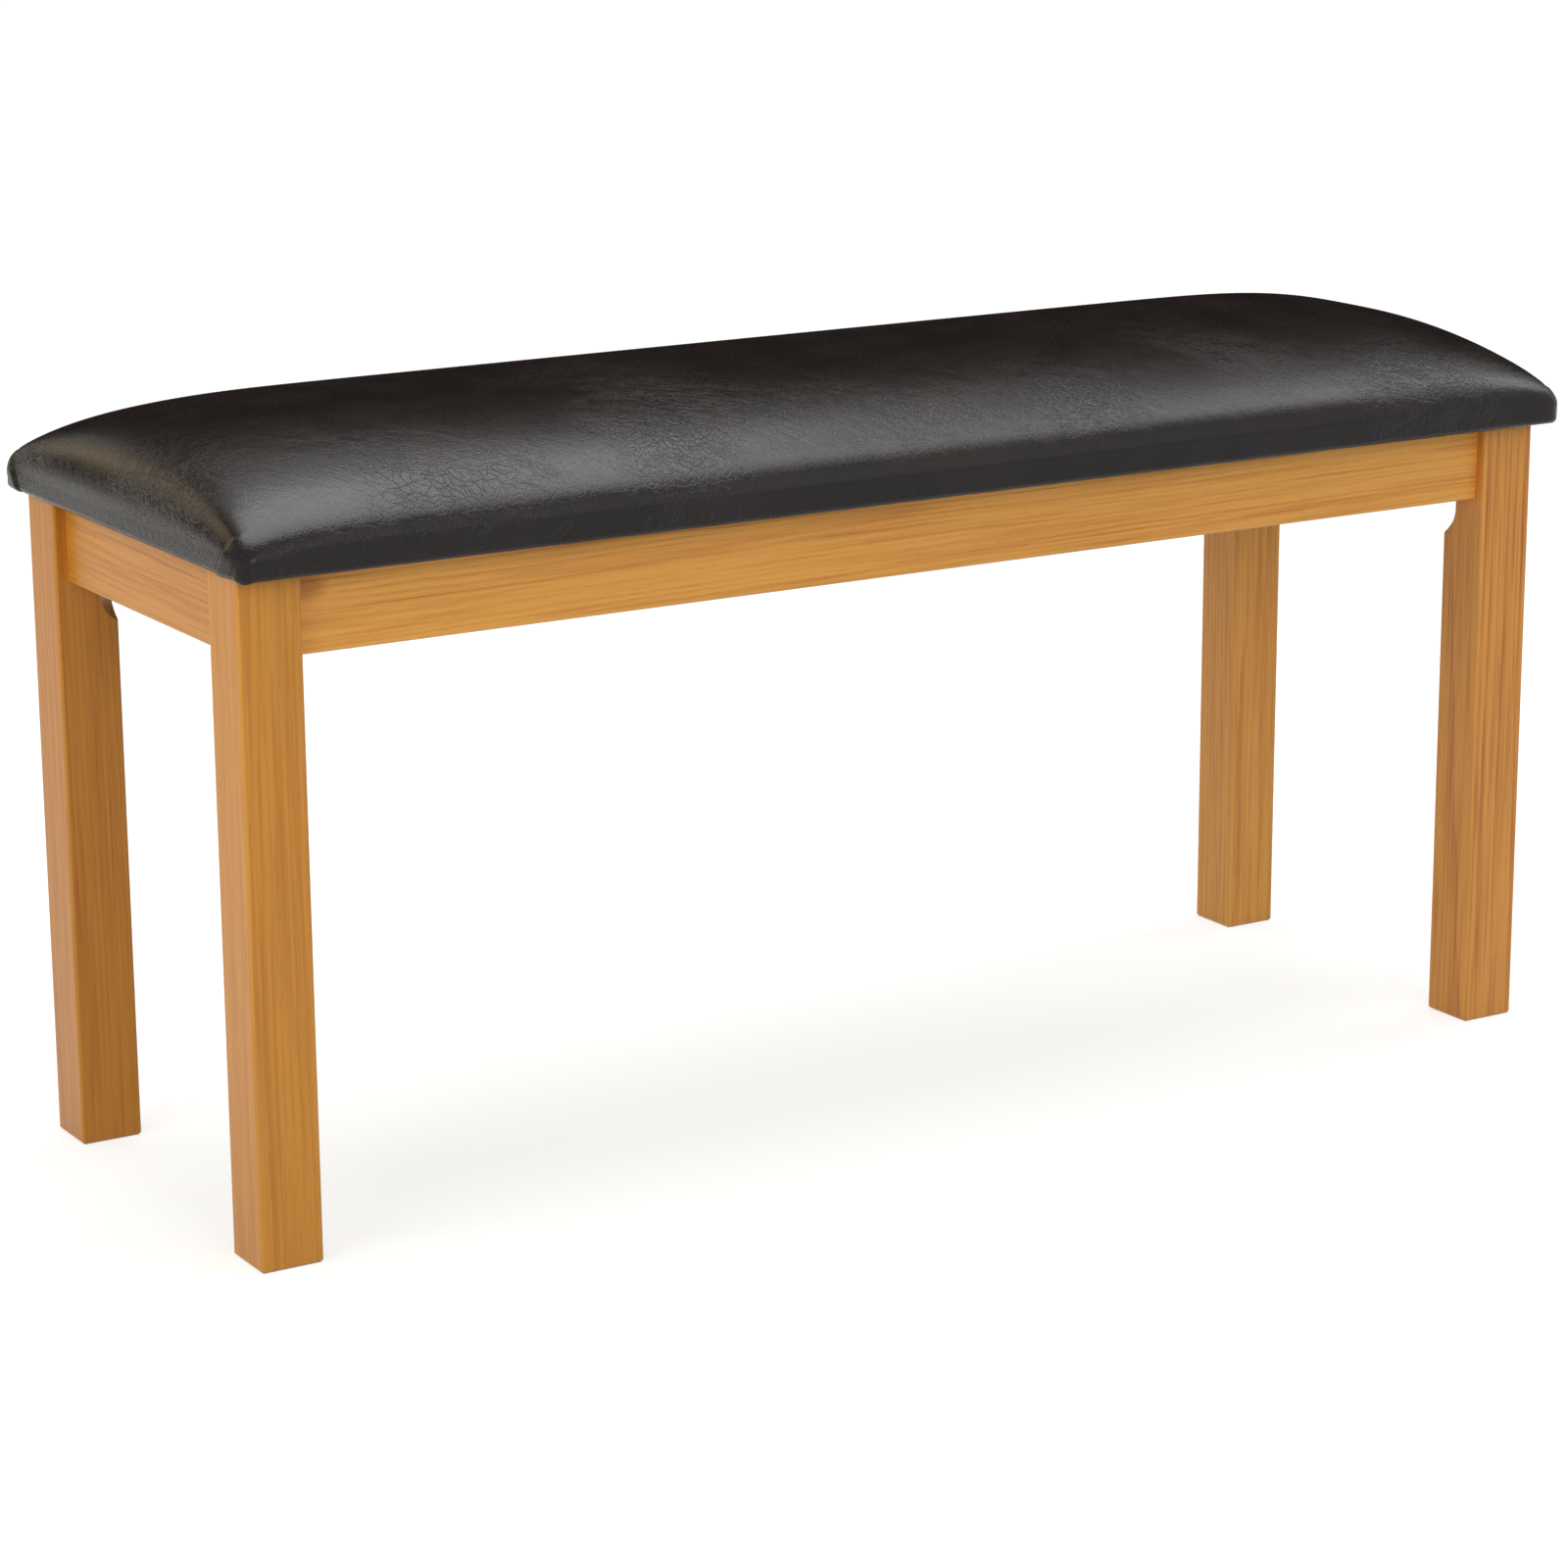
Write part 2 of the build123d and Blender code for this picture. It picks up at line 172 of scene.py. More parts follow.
def timber(name, node, grain, pith, ring, tones, boldness=1.0, lean=(0.0, 0.0), pores=1.0,
           gloss=0.36, stain=None):
    """Sawn wood: growth rings round a pith, with pores and fibres along the grain.

    pith is how far the heart of the log lies from the piece's middle, ring the width of a year's
    growth, and lean how much the grain slants. tones are the pale wood, the dark ring line, the
    pore and, on wood whose edges are eased, the paler edge: part rubbed wear, part a painted
    highlight along the eased edge. stain is the place and radius of a small knot.
    """
    plain, dark, pore, *edge_wear_and_highlight = tones
    low, high = (Vector(corner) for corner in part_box(node))
    wood = Finish(name)
    x, y, z = wood.parts(wood.place((low + high) / 2, grain))
    across = x + z * lean[0]
    back = y + z * lean[1]

    def drawn_out(share, scale, detail=2.0, roughness=0.5):
        """Noise in long spots along the grain: share is their width against their length."""
        return wood.noise(wood.joined(across, back, z * share), scale, detail, roughness)

    sway = drawn_out(0.09, 21.0, 1.5) - 0.5
    ripple = drawn_out(0.22, 70.0, 1.0) - 0.5
    u, v = across + pith[0], back + pith[1]
    radius = (u * u + v * v) ** 0.5 + sway * 0.014 + ripple * 0.0018
    years = radius / ring
    season = wood.maths("FRACT", years)
    year = {"W": wood.maths("FLOOR", years)}
    weather = wood.node("ShaderNodeTexWhiteNoise", {"noise_dimensions": "1D"}, year)
    line = (1 - season) ** 3.0 * wood.between(season, 0.0, 0.06) * (0.45 + 0.75 * weather)
    fibre = drawn_out(0.02, 520.0, 2.0, 0.6)
    streak = drawn_out(0.05, 95.0)
    cloud = drawn_out(0.25, 16.0, 1.0)
    pit = wood.between(drawn_out(0.08, 1250.0, 1.0), 0.6, 0.72) * (0.25 + 0.75 * line) * pores
    depth = 0.12 + 0.46 * boldness * line + 1.5 * boldness * (fibre - 0.5)
    depth = depth + 0.8 * (streak - 0.5) + 0.5 * (cloud - 0.5)
    depth = wood.maths("MAXIMUM", wood.maths("MINIMUM", depth, 1.0), 0.0)
    colour = wood.mix(depth, plain, dark)
    colour = wood.mix(pit * 0.30, colour, pore)
    if stain:
        place, size = stain
        knot_x, knot_y, knot_z = wood.parts(wood.place(place))
        reach = (knot_x * knot_x * 0.35 + knot_y * knot_y * 0.2 + knot_z * knot_z) ** 0.5
        reach = reach + sway * 0.004
        colour = wood.mix((1 - wood.between(reach, size * 0.25, size)) * 0.6, colour, pore)
    # The paler band along the eased edges is partly rubbed wear and partly a painted highlight.
    if edge_wear_and_highlight:
        half = Euler(grain).to_matrix() @ ((high - low) / 2)
        past_x = wood.maths("ABSOLUTE", x) - abs(half.x)
        past_y = wood.maths("ABSOLUTE", y) - abs(half.y)
        edge = wood.maths("MINIMUM", past_x, past_y) + fibre * 0.0012
        colour = wood.mix(wood.between(edge, -0.0022, 0.0002) * 0.34, colour, edge_wear_and_highlight[0])
    height = fibre * 0.35 - line * 0.4 - pit * 0.8
    return wood.surface(
        Base_Color=colour, Roughness=gloss + pit * 0.10 + (fibre - 0.5) * 0.12,
        Normal=wood.relief(height, 0.55, 0.00022), Specular_IOR_Level=0.35,
    )


honey = (srgb(212, 145, 58), srgb(172, 102, 30), srgb(142, 74, 20), srgb(224, 164, 84))
golden = (srgb(240, 173, 82), srgb(192, 112, 44), srgb(156, 84, 30), srgb(240, 184, 104))
russet = (srgb(228, 159, 75), srgb(182, 103, 40), srgb(148, 78, 27), srgb(230, 172, 96))
amber = (srgb(204, 136, 50), srgb(164, 94, 26), srgb(134, 70, 18), srgb(218, 156, 74))

# Each leg is cut from another place of a log: its pith, ring, tones, boldness and lean.
leg_cuts = {
    "leg_front_left": ((0.052, 0.084), 0.0031, honey, 0.80, (0.004, -0.006)),
    "leg_front_right": ((0.110, 0.018), 0.0066, russet, 1.5, (-0.003, 0.003)),
    "leg_rear_left": ((-0.070, 0.045), 0.0036, amber, 0.90, (0.008, 0.003)),
    "leg_rear_right": ((0.030, 0.072), 0.0044, golden, 1.00, (-0.007, -0.008)),
}
for leg, cut in leg_cuts.items():
    dress(leg, timber(f"oak_{leg}", leg, grain_up, *cut))


# Aprons

# Four straight boards of the same lacquered oak, dowelled between the legs and set back from
# their faces. The grain runs along them, and the front one has a small knot at its left end.

front_low, front_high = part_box("apron_front")
knot_inset, knot_drop, knot_radius = 0.006, 0.012, 0.011
knot_place = Vector((front_low[0] + knot_inset, front_low[1], front_high[2] - knot_drop))
knots = {"apron_front": (knot_place, knot_radius)}

# Each apron's grain, pith, ring, tones, boldness and lean.
apron_cuts = {
    "apron_front": (grain_across, (0.046, 0.040), 0.0028, golden, 1.05, (0.012, -0.004)),
    "apron_rear": (grain_across, (0.060, -0.035), 0.0038, amber, 0.85, (-0.010, 0.005)),
    "apron_left": (grain_back, (0.050, 0.038), 0.0033, honey, 0.90, (0.010, 0.018)),
    "apron_right": (grain_back, (-0.045, 0.050), 0.0036, honey, 0.90, (-0.010, -0.012)),
}
for apron, cut in apron_cuts.items():
    dress(apron, timber(f"oak_{apron}", apron, *cut, stain=knots.get(apron)))


# Corner blocks

# A block of plain hardwood across each inner corner, bored for the leg's bolt and screwed to
# both aprons. It isn't stained, because the seat and the aprons hide it.

pale = (srgb(222, 196, 152), srgb(190, 156, 108), srgb(150, 116, 74))
unlacquered = {"pores": 0.5, "gloss": 0.6}
for number, corner in enumerate(("front_left", "front_right", "rear_left", "rear_right")):
    block = f"corner_block_{corner}"
    cut = ((0.05 + 0.012 * number, 0.04 - 0.02 * number), 0.0032, pale, 0.6)
    dress(block, timber(f"hardwood_{block}", block, grain_up, *cut, **unlacquered))


# Middle rail

# A rail of the same plain hardwood, housed in the front and rear aprons under the seat board.
# It keeps the long aprons from bowing, and two of the seat's screws come up through it.

cut = ((0.03, 0.06), 0.0035, pale, 0.6)
dress("middle_rail", timber("hardwood_middle_rail", "middle_rail", grain_back, *cut, **unlacquered))


# Dowels

# One beech pin at each end of each apron, glued into the apron and into the leg beside it.
# Nothing of it shows once the frame is together.

beech = Finish("beech")
speck = beech.noise(beech.place(), 900.0)
beech_tone = beech.mix(beech.between(speck, 0.5, 0.7), srgb(222, 190, 146), srgb(186, 146, 100))
dress("apron_dowels", beech.surface(Base_Color=beech_tone, Roughness=0.62 + speck * 0.1))


# Leg bolts, washers and inserts

# One hexagon-socket bolt per corner draws the leg against its block, through a flat washer and
# a split one, into a steel insert in the leg. Bolt and washers are zinc plated, the insert
# passivated yellow.


def plating(name, bright, dull, roughness, scale):
    """Plated steel, a little cloudy and finely scratched."""
    steel = Finish(name)
    point = steel.place()
    bloom = steel.noise(point, scale, 3.0)
    scratch = steel.noise(point, scale * 9, 2.0, 0.7)
    return steel.surface(
        Base_Color=steel.mix(steel.between(bloom, 0.38, 0.66), bright, dull), Metallic=1.0,
        Roughness=roughness + bloom * 0.14 + (scratch - 0.5) * 0.1,
        Normal=steel.relief(scratch, 0.3, 0.00005),
    )


zinc = plating("zinc_plate", srgb(200, 202, 204), srgb(172, 174, 178), 0.24, 160.0)
for fixing in ("leg_bolts", "flat_washers", "lock_washers"):
    dress(fixing, zinc)
dress("leg_inserts", plating("yellow_zinc", srgb(206, 186, 128), srgb(190, 158, 110), 0.3, 140.0))


# Wood screws

# Countersunk zinc-plated screws: two through each corner block into the aprons, and six that
# come up through blocks and rail to hold the seat.

screw_plate = plating("screw_plate", srgb(196, 192, 180), srgb(164, 158, 144), 0.3, 190.0)
dress("block_screws", screw_plate)
dress("seat_screws", screw_plate)


# Seat board

# Plywood, 12 mm thick, with its lower edge bevelled, held by screws from below. It has nine thin
# plies, and the grain of its faces runs along the bench.

board_low, board_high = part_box("seat_board")
board_bottom, board_top = board_low[2], board_high[2]
plies = 9
ply = Finish("plywood")
point = ply.place(board_low)
x, y, z = ply.parts(point)
layer = z * (plies / (board_top - board_bottom))
odd = ply.between(ply.maths("PINGPONG", layer + 0.5, 1.0), 0.42, 0.58)
off_middle = ply.maths("ABSOLUTE", ply.maths("FRACT", layer) - 0.5)
glue = ply.between(off_middle, 0.36, 0.47)
face = ply.noise(ply.joined(x * 0.06, y, z), 150.0, 3.0, 0.6)
end_fibre = ply.noise(point, 1100.0)
ply_tone = ply.mix(face, srgb(214, 184, 138), srgb(184, 146, 98))
ply_tone = ply.mix(odd * 0.45, ply_tone, srgb(166, 126, 84))
ply_tone = ply.mix(glue * 0.5, ply_tone, srgb(112, 78, 52))
ply_relief = ply.relief(face + end_fibre * 0.5, 0.4, 0.0002)
dress("seat_board", ply.surface(Base_Color=ply_tone, Roughness=0.68, Normal=ply_relief))


# Seat pad and cover

# A foam pad, crowned from edge to edge, with dark brown leatherette pulled over it and over the
# board's edge, turned in and stapled underneath. The cover is folded into a pleat at each
# corner, where its spare leather bunches and hangs a little below the board.

skin_out = 0.0011  # from the board's edge to the outside of the cover
half_long, half_deep = board_high[0] + skin_out, board_high[1] + skin_out
round_corner = 0.011
crown_rise = 0.0517
end_wall = 0.13  # the share of the crown that stands up at once at each end
reach_end, reach_side = 0.144, 0.152
bend_end, bend_side = 3.15, 2.0
columns, rows = 168, 70
close_columns, close_rows = 0.35, 0.28
edge_rings = (0.0014, 0.0040, 0.0066, 0.0092)  # below the board's top, round its edge


def rise(inward, reach, exponent):
    """The crown's height, from 0 at the edge to 1 at reach and beyond."""
    return (1 - (1 - min(max(inward / reach, 0.0), 1.0)) ** exponent) ** (1 / exponent)


def spread(share, close):
    """Crowds a grid's lines towards its edges: close is their spacing there, against the mean."""
    size = abs(share)
    return math.copysign(close * size + (1 - close) * (1 - (1 - size) ** 2), share)


def rounded(x, y, half_x, half_y, radius):
    """Draws the square corner of a grid in to the round corner of the seat."""
    over_x, over_y = abs(x) - (half_x - radius), abs(y) - (half_y - radius)
    if over_x > 0 and over_y > 0:
        keep = max(over_x, over_y) / math.hypot(over_x, over_y)
        x = math.copysign(half_x - radius + over_x * keep, x)
        y = math.copysign(half_y - radius + over_y * keep, y)
    return x, y


def rim(mesh):
    return [edge for edge in mesh.edges if edge.is_boundary]


def edge_ring(mesh, edges, move):
    """Extrudes an open edge and puts its new points where move says."""
    made = bmesh.ops.extrude_edge_only(mesh, edges=edges)["geom"]
    ring = [item for item in made if isinstance(item, bmesh.types.BMEdge) and item.is_boundary]
    for vert in {vert for edge in ring for vert in edge.verts}:
        vert.co = move(vert.co)
    return ring


def piece(name, shape):
    """Makes an object of a bmesh and frees the bmesh."""
    mesh = bpy.data.meshes.new(name)
    shape.to_mesh(mesh)
    shape.free()
    made = bpy.data.objects.new(name, mesh)
    bpy.context.scene.collection.objects.link(made)
    return made


def worked_out(thing):
    """An object as its modifiers leave it."""
    return thing.evaluated_get(bpy.context.evaluated_depsgraph_get())


hide = bmesh.new()
bmesh.ops.create_grid(hide, x_segments=columns, y_segments=rows, size=1.0)
for vert in hide.verts:
    x = half_long * spread(vert.co.x, close_columns)
    y = half_deep * spread(vert.co.y, close_rows)
    end = end_wall + (1 - end_wall) * rise(half_long - abs(x), reach_end, bend_end)
    lift = crown_rise * end * rise(half_deep - abs(y), reach_side, bend_side)
    vert.co = Vector((*rounded(x, y, half_long, half_deep, round_corner), board_top + lift))
open_edge = rim(hide)
for level in edge_rings:
    open_edge = edge_ring(hide, open_edge, lambda at: Vector((at.x, at.y, board_top - level)))
cushion = piece("seat_cushion", hide)
cover_mesh = cushion.data

# The foam's push: a cloth simulation blows the crown up, while its edge stays on the board. The
# movement is then averaged, lessened and capped.
foam_foot = board_top + 0.0005
pressure, cloth_mass, cloth_steps, last_frame = 4.0, 0.25, 6, 20
averagings = 90
swell_most, sink_most, taken_up = 0.0030, 0.0016, 0.22

on_board = [vert.index for vert in cover_mesh.vertices if vert.co.z < foam_foot]
cushion.vertex_groups.new(name="on_the_board").add(on_board, 1.0, "REPLACE")
swelling = cushion.modifiers.new("swelling", "CLOTH")
cloth = swelling.settings
cloth.quality = cloth_steps
cloth.mass = cloth_mass
cloth.vertex_group_mass = "on_the_board"
cloth.use_pressure = True
cloth.uniform_pressure_force = pressure
cloth.effector_weights.gravity = 0.0
swelling.point_cache.frame_start, swelling.point_cache.frame_end = 1, last_frame
for moment in range(1, last_frame + 1):
    bpy.context.scene.frame_set(moment)
swollen = worked_out(cushion).to_mesh()
moved = [vert.co.copy() for vert in swollen.vertices]
cushion.modifiers.remove(swelling)
neighbours = [[] for _ in moved]
for edge in cover_mesh.edges:
    first, second = edge.vertices
    neighbours[first].append(second)
    neighbours[second].append(first)
on_foam = [vert.co.z > foam_foot for vert in cover_mesh.vertices]
swell = [(after - vert.co).dot(vert.normal) if soft else 0.0
         for vert, after, soft in zip(cover_mesh.vertices, moved, on_foam)]
for _ in range(averagings):
    swell = [0.5 * out + 0.5 * sum(swell[n] for n in near) / len(near) if soft else 0.0
             for out, near, soft in zip(swell, neighbours, on_foam)]
outwards = [vert.normal.copy() for vert in cover_mesh.vertices]
for vert, outward, out in zip(cover_mesh.vertices, outwards, swell):
    most = swell_most if out > 0 else sink_most
    vert.co = vert.co + outward * (most * math.tanh(taken_up * out / most))
bpy.context.scene.frame_set(1)
cushion.vertex_groups.clear()

# The leather is pulled taut over the foam, and its mesh made finer.
taut_above = board_top + 0.0015
pulls = 6
all_ways = {"use_axis_x": True, "use_axis_y": True, "use_axis_z": True}
taut = bmesh.new()
taut.from_mesh(cover_mesh)
free = [vert for vert in taut.verts if vert.co.z > taut_above]
for _ in range(pulls):
    bmesh.ops.smooth_vert(taut, verts=free, factor=0.5, **all_ways)
taut.to_mesh(cover_mesh)
taut.free()
finer = cushion.modifiers.new("finer", "SUBSURF")
finer.levels = finer.render_levels = 1
smooth_mesh = bpy.data.meshes.new_from_object(worked_out(cushion))
cushion.modifiers.remove(finer)
cushion.data = smooth_mesh

# The pleats: at each corner, how far from it the fold starts along the end, how far it stands
# proud, and how far the bunched leather hangs down.
pleats = {(-1, -1): (0.031, 0.0022, 0.0036), (1, -1): (0.024, 0.0014, 0.0012),
          (-1, 1): (0.026, 0.0011, 0.0010), (1, 1): (0.027, 0.0013, 0.0014)}
end_face, side_face = (0.004, 0.016), (0.010, 0.030)  # where each fades out, measured inwards
off_corner_end, off_corner_side = (0.0, 0.050), (0.0, 0.060)
edge_fade, fold_fade, bunch_fade = (0.006, 0.020), (0.010, 0.036), (0.004, 0.016)  # heights
fold_lean, fold_top = 0.72, 0.030  # the fold runs in towards the corner as it goes up
lap_start, lap_end = (-0.0010, 0.0012), (-0.020, -0.002)  # measured from the fold
crease_depth, crease_width, crease_offset = 0.0007, 0.0018, 0.0015
second_share, second_lean, second_top, second_width = 0.42, 0.8, 0.018, 0.0016
bulge_side, bulge_end = 0.0016, 0.0012  # where the foam pushes out over the board's edge
bulge_foot, bulge_top = (0.011, 0.017), (0.024, 0.046)
dimple_pitch, dimple_depth = 0.047, 0.0005  # where staples pull the edge in from below
bunch_along, bunch_beside, bunch_point = 0.014, 0.010, 1.2
leg_face_x, leg_face_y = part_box("leg_rear_right")[1][:2]


def ease(value, low, high):
    share = min(max((value - low) / (high - low), 0.0), 1.0)
    return share * share * (3 - 2 * share)


def groove(distance, width):
    return math.exp(-((distance / width) ** 2))


def gathered(at):
    """Where a point of the cover goes once its corner is folded and its edge pulled tight."""
    side_x, side_y = (1 if at.x > 0 else -1), (1 if at.y > 0 else -1)
    start, proud, hang = pleats[side_x, side_y]
    along, beside = half_deep - abs(at.y), half_long - abs(at.x)
    height = at.z - board_bottom
    near_end, near_side = 1 - ease(beside, *end_face), 1 - ease(along, *side_face)
    low_down = 1 - ease(height, *edge_fade)
    bulge = ease(height, *bulge_foot) * (1 - ease(height, *bulge_top))

    from_fold = along - start * (1 - fold_lean * min(height / fold_top, 1.0))
    lap = (1 - ease(from_fold, *lap_start)) * ease(from_fold, *lap_end)
    crease = groove(from_fold - crease_offset, crease_width)
    fold = (proud * lap - crease_depth * crease) * (1 - ease(height, *fold_fade))
    second = start * second_share * (1 - second_lean * min(height / second_top, 1.0))
    dent = crease_depth * groove(along - second, second_width) * low_down
    out_x = near_end * (fold - dent + bulge_end * bulge * ease(along, *off_corner_end))

    pull = math.cos(abs(at.x) / dimple_pitch * 2 * math.pi) * 0.5 + 0.5
    dimple = dimple_depth * pull * low_down
    out_y = near_side * ease(beside, *off_corner_side) * (bulge_side * bulge - dimple)

    droop = 0.0
    if abs(at.x) > leg_face_x or abs(at.y) > leg_face_y:
        bunch = max(0.0, 1 - math.hypot(along / bunch_along, beside / bunch_beside))
        droop = hang * bunch ** bunch_point * (1 - ease(height, *bunch_fade))
    return at + Vector((side_x * out_x, side_y * out_y, -droop))


# The cover goes round the board's lower edge and in under it, past the dust cover's edge, and
# closes against the board. Each ring says how far it lies in from the one before, and its level
# over the board's lower face.
skin = 0.0009
turned_rings = ((0.0, 0.0024), (0.0003, 0.0013), (0.0007, 0.0003), (0.0010, 0.0003 - skin),
                (0.0016, -skin), (0.0054, -skin))
turn_x, turn_y = 0.427, 0.119
closing_gap = 0.0001
merged_within = 0.00002


def drawn_in(at, before, inset, level):
    """Moves a point of a ring in by inset, where the ring already lies in by before."""
    corner = round_corner - before
    straight_x, straight_y = half_long - round_corner, half_deep - round_corner
    over_x, over_y = abs(at.x) - straight_x, abs(at.y) - straight_y
    if over_x > 0 and over_y > 0:
        keep = (corner - inset) / corner
        x, y = straight_x + over_x * keep, straight_y + over_y * keep
    elif over_x > over_y:
        x, y = abs(at.x) - inset, abs(at.y)
    else:
        x, y = abs(at.x), abs(at.y) - inset
    return Vector((math.copysign(x, at.x), math.copysign(y, at.y), board_bottom + level))


def at_lip(at):
    """The point of the turned-in edge that is nearest to a point further out."""
    x, y = max(-turn_x, min(turn_x, at.x)), max(-turn_y, min(turn_y, at.y))
    return Vector((x, y, board_bottom - skin))


def against_board(at):
    return Vector((at.x, at.y, board_bottom - closing_gap))


hide = bmesh.new()
hide.from_mesh(cushion.data)
open_edge = rim(hide)
taken_in = 0.0
for inset, level in turned_rings:
    open_edge = edge_ring(hide, open_edge, lambda at: drawn_in(at, taken_in, inset, level))
    taken_in += inset
for vert in hide.verts:
    vert.co = gathered(vert.co)
open_edge = edge_ring(hide, open_edge, at_lip)
open_edge = edge_ring(hide, open_edge, against_board)
bmesh.ops.holes_fill(hide, edges=open_edge, sides=0)
bmesh.ops.remove_doubles(hide, verts=hide.verts, dist=merged_within)
bmesh.ops.recalc_face_normals(hide, faces=hide.faces)
hide.to_mesh(cushion.data)
hide.free()
for polygon in cushion.data.polygons:
    polygon.use_smooth = True

leather = Finish("leatherette")
point = leather.place()
x, y, z = leather.parts(point)
drift = leather.noise(point, 26.0)
wander = leather.noise(point, 55.0, 3.0, output="Color")
warping = {0: wander, 1: (0.016, 0.016, 0.016), 2: point}
warped = leather.node("ShaderNodeVectorMath", {"operation": "MULTIPLY_ADD"}, warping)


def cracks(scale, width):
    """The lines between the cells of a grain, fading out at width from them."""
    settings = {"feature": "DISTANCE_TO_EDGE", "voronoi_dimensions": "3D"}
    cells = leather.node("ShaderNodeTexVoronoi", settings, {"Vector": warped, "Scale": scale})
    return 1 - leather.between(cells, 0.0, width)


crease, fine = cracks(175.0, 0.10), cracks(620.0, 0.16)
patch = 0.16 + 0.84 * leather.between(leather.noise(point, 9.0, 1.0), 0.40, 0.74)
pebble = leather.noise(point, 1500.0, 2.0, 0.6)
slant = leather.joined((x + y) * 1.6, (x - y) * 0.22, z)
wrinkle = leather.noise(slant, 95.0, 3.0, 0.6)
height = pebble * 0.10 - crease * patch * 0.70 - fine * (0.08 + 0.16 * patch) + wrinkle * 0.65
hide_tone = leather.mix(leather.between(drift, 0.35, 0.7), srgb(19, 14, 12), srgb(25, 19, 16))
# The crease lines of the grain are also painted darker here: a painted shade in the creases.
hide_tone = leather.mix(crease * patch * 0.25, hide_tone, srgb(13, 9, 7))
cushion.data.materials.clear()
cushion.data.materials.append(leather.surface(
    Base_Color=hide_tone, Roughness=0.245 + (drift - 0.5) * 0.05 + fine * 0.05,
    Normal=leather.relief(height, 0.55, 0.00045), Specular_IOR_Level=0.25,
))
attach(cushion, "root")
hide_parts("seat_cover", "seat_foam")


# Dust cover

# Thin black non-woven cloth under the seat, cut round the legs, stretched and stapled to the
# board. It sags a little between the staples and the middle rail.

liner_x, liner_y, notch = 0.431, 0.123, 0.013
liner_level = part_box("dust_cover")[0][2]
liner_columns, liner_rows = 108, 30
sag, sag_roundness = 0.0024, 0.9
wave_depth, wave_pitch = 0.0003, 0.050
past_rail, before_end = (0.014, 0.090), (liner_x - 0.090, liner_x - 0.006)  # where it starts to sag


def past_notch(face):
    """True of a face in the square that is cut out of the cloth at each leg."""
    centre = face.calc_center_median()
    return abs(centre.x) > liner_x - notch and abs(centre.y) > liner_y - notch


liner = bmesh.new()
bmesh.ops.create_grid(liner, x_segments=liner_columns, y_segments=liner_rows, size=1.0)
for vert in liner.verts:
    x, y = vert.co.x * liner_x, vert.co.y * liner_y
    free = ease(abs(x), *past_rail) * (1 - ease(abs(x), *before_end))
    span = math.cos(vert.co.y * math.pi / 2) ** sag_roundness
    wave = 0.5 + 0.5 * math.cos(x / wave_pitch * 2 * math.pi)
    drop = sag * free * span + wave_depth * wave * free * (1 - span) * span * 4
    vert.co = Vector((x, y, liner_level - drop))
corners_cut = [face for face in liner.faces if past_notch(face)]
bmesh.ops.delete(liner, geom=corners_cut, context="FACES")
bmesh.ops.reverse_faces(liner, faces=liner.faces)
liner_cloth = piece("liner", liner)
for polygon in liner_cloth.data.polygons:
    polygon.use_smooth = True

felt = Finish("liner_cloth")
point = felt.place()
x, y, _ = felt.parts(point)
fleece = felt.noise(point, 900.0, 3.0, 0.7)
dot = felt.maths("SINE", x * 1900) * felt.maths("SINE", y * 1900)
press = felt.between(dot, 0.35, 0.8)
felt_tone = felt.mix(fleece, srgb(30, 30, 31), srgb(52, 52, 54))
felt_tone = felt.mix(press * 0.5, felt_tone, srgb(22, 22, 23))
felt_relief = felt.relief(fleece - press * 0.6, 0.6, 0.0002)
black_felt = felt.surface(Base_Color=felt_tone, Roughness=0.92, Normal=felt_relief)
liner_cloth.data.materials.append(black_felt)
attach(liner_cloth, "root")
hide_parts("dust_cover")


# Staples

# Fine zinc staples that hold the dust cover, and the leatherette under it, to the board. They
# follow the edge of the cloth, and leave out the legs, the blocks and the rail.

staple_size = (0.0100, 0.0012, 0.0007)
staple_edge = 0.00022
row_inset = 0.0022  # of the staples from the edge of the cloth
row_x, row_y = liner_x - row_inset, liner_y - row_inset
long_gap, short_gap = 0.0475, 0.052
most_askew, askew_step = 0.10, 2.4
long_row = [count for count in range(-7, 8) if count]  # none at the rail, in the middle
short_row = (-1, 0, 1)
sides = (-1, 1)
places = [(count * long_gap, side * row_y, 0.0) for count in long_row for side in sides]
places += [(side * row_x, count * short_gap, math.pi / 2) for count in short_row for side in sides]
wires = bmesh.new()
for number, (x, y, turn) in enumerate(places):
    spot = Matrix.Translation((x, y, liner_level - staple_size[2] / 2))
    tilt = Matrix.Rotation(turn + most_askew * math.sin(number * askew_step), 4, "Z")
    size = Matrix.Diagonal((*staple_size, 1.0))
    made = bmesh.ops.create_cube(wires, size=1.0, matrix=spot @ tilt @ size)
    edges = list({edge for vert in made["verts"] for edge in vert.link_edges})
    bmesh.ops.bevel(wires, geom=edges, offset=staple_edge, segments=2, profile=0.5,
                    affect="EDGES", material=-1)
staples = piece("staples", wires)
staples.data.materials.append(zinc)
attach(staples, "root")


# Floor, room, lamps and camera

# A wide white floor in a pale room, with six soft lamps. Two black cards stand behind the bench
# and show in reflections only, which keeps the top and the left end of the leather dark.


def looked_at(finish):
    """1 on rays from the camera, off a mirror or through glass, and 0 on all others."""
    path = finish.node("ShaderNodeLightPath", {}, {})
    kinds = ("Is Camera Ray", "Is Glossy Ray", "Is Transmission Ray")
    seen, mirrored, through = (path.beside(kind) for kind in kinds)
    return finish.maths("MINIMUM", seen + mirrored + through, 1.0)


